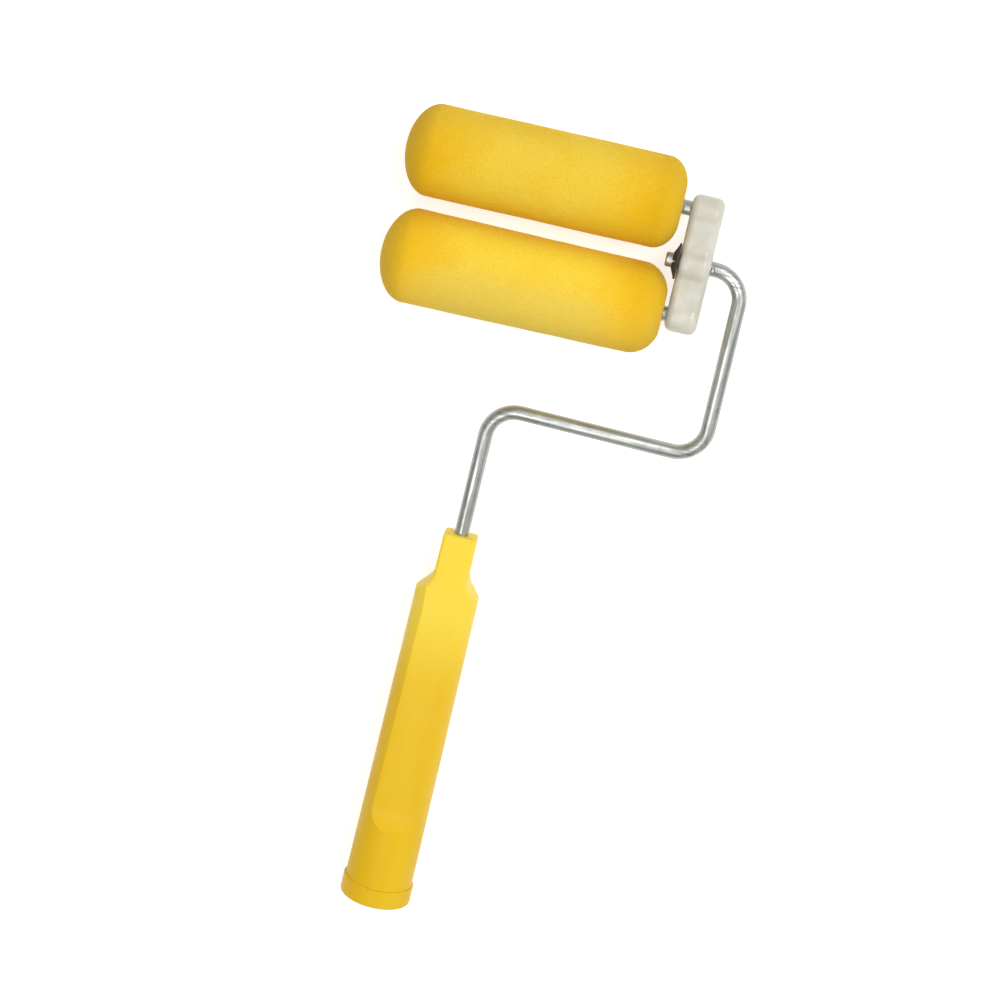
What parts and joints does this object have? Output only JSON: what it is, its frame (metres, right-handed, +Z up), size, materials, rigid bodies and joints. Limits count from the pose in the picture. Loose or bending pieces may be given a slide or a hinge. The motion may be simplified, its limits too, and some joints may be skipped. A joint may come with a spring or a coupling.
{
  "type": "paint roller",
  "caption": "Foam paint roller: domed foam covers side by side on a rocking bar, held by a cranked wire frame in a moulded handle with a pole socket.",
  "frame": {"origin": "on the floor, under the middle of the whole part as it lies down", "axes": "+Z up, +X along the covers towards the rocker, +Y from the handle towards the covers"},
  "size_m": [0.148, 0.3367, 0.038],
  "materials": {
    "foam": "fine cell foam, matte",
    "handle_plastic": "injection moulded, satin",
    "rocker_plastic": "natural polypropylene, satin, slightly translucent",
    "zinc_wire": "bright zinc plated drawn wire",
    "dark_spring_steel": "blackened spring steel",
    "washer_steel": "plain zinc plated",
    "core_plastic": "extruded, matte",
    "bush_plastic": "moulded, matte"
  },
  "bodies": {
    "frame": {"frame_rod": "zinc_wire", "handle_grip": "handle_plastic", "handle_end_cap": "handle_plastic", "pivot_push_nut": "dark_spring_steel"},
    "rocker": {"rocker_bar": "rocker_plastic", "pivot_thrust_washer": "washer_steel", "far_axle": "zinc_wire", "near_axle": "zinc_wire", "far_axle_clip": "dark_spring_steel", "near_axle_clip": "dark_spring_steel"},
    "far_roller": {"far_foam_cover": "foam", "far_core_tube": "core_plastic", "far_inner_bush": "bush_plastic", "far_outer_bush": "bush_plastic", "far_core_plug": "core_plastic"},
    "near_roller": {"near_foam_cover": "foam", "near_core_tube": "core_plastic", "near_inner_bush": "bush_plastic", "near_outer_bush": "bush_plastic", "near_core_plug": "core_plastic"}
  },
  "joints": [
    {"name": "rocker_pivot", "type": "hinge", "parent": "frame", "child": "rocker", "pos_m": [0.05015, 0.12764, 0.019], "axis": [1, 0, 0], "continuous": true},
    {"name": "far_roller_spin", "type": "hinge", "parent": "rocker", "child": "far_roller", "pos_m": [-0.00985, 0.14934, 0.019], "axis": [1, 0, 0], "continuous": true},
    {"name": "near_roller_spin", "type": "hinge", "parent": "rocker", "child": "near_roller", "pos_m": [-0.00985, 0.10594, 0.019], "axis": [1, 0, 0], "continuous": true}
  ]
}
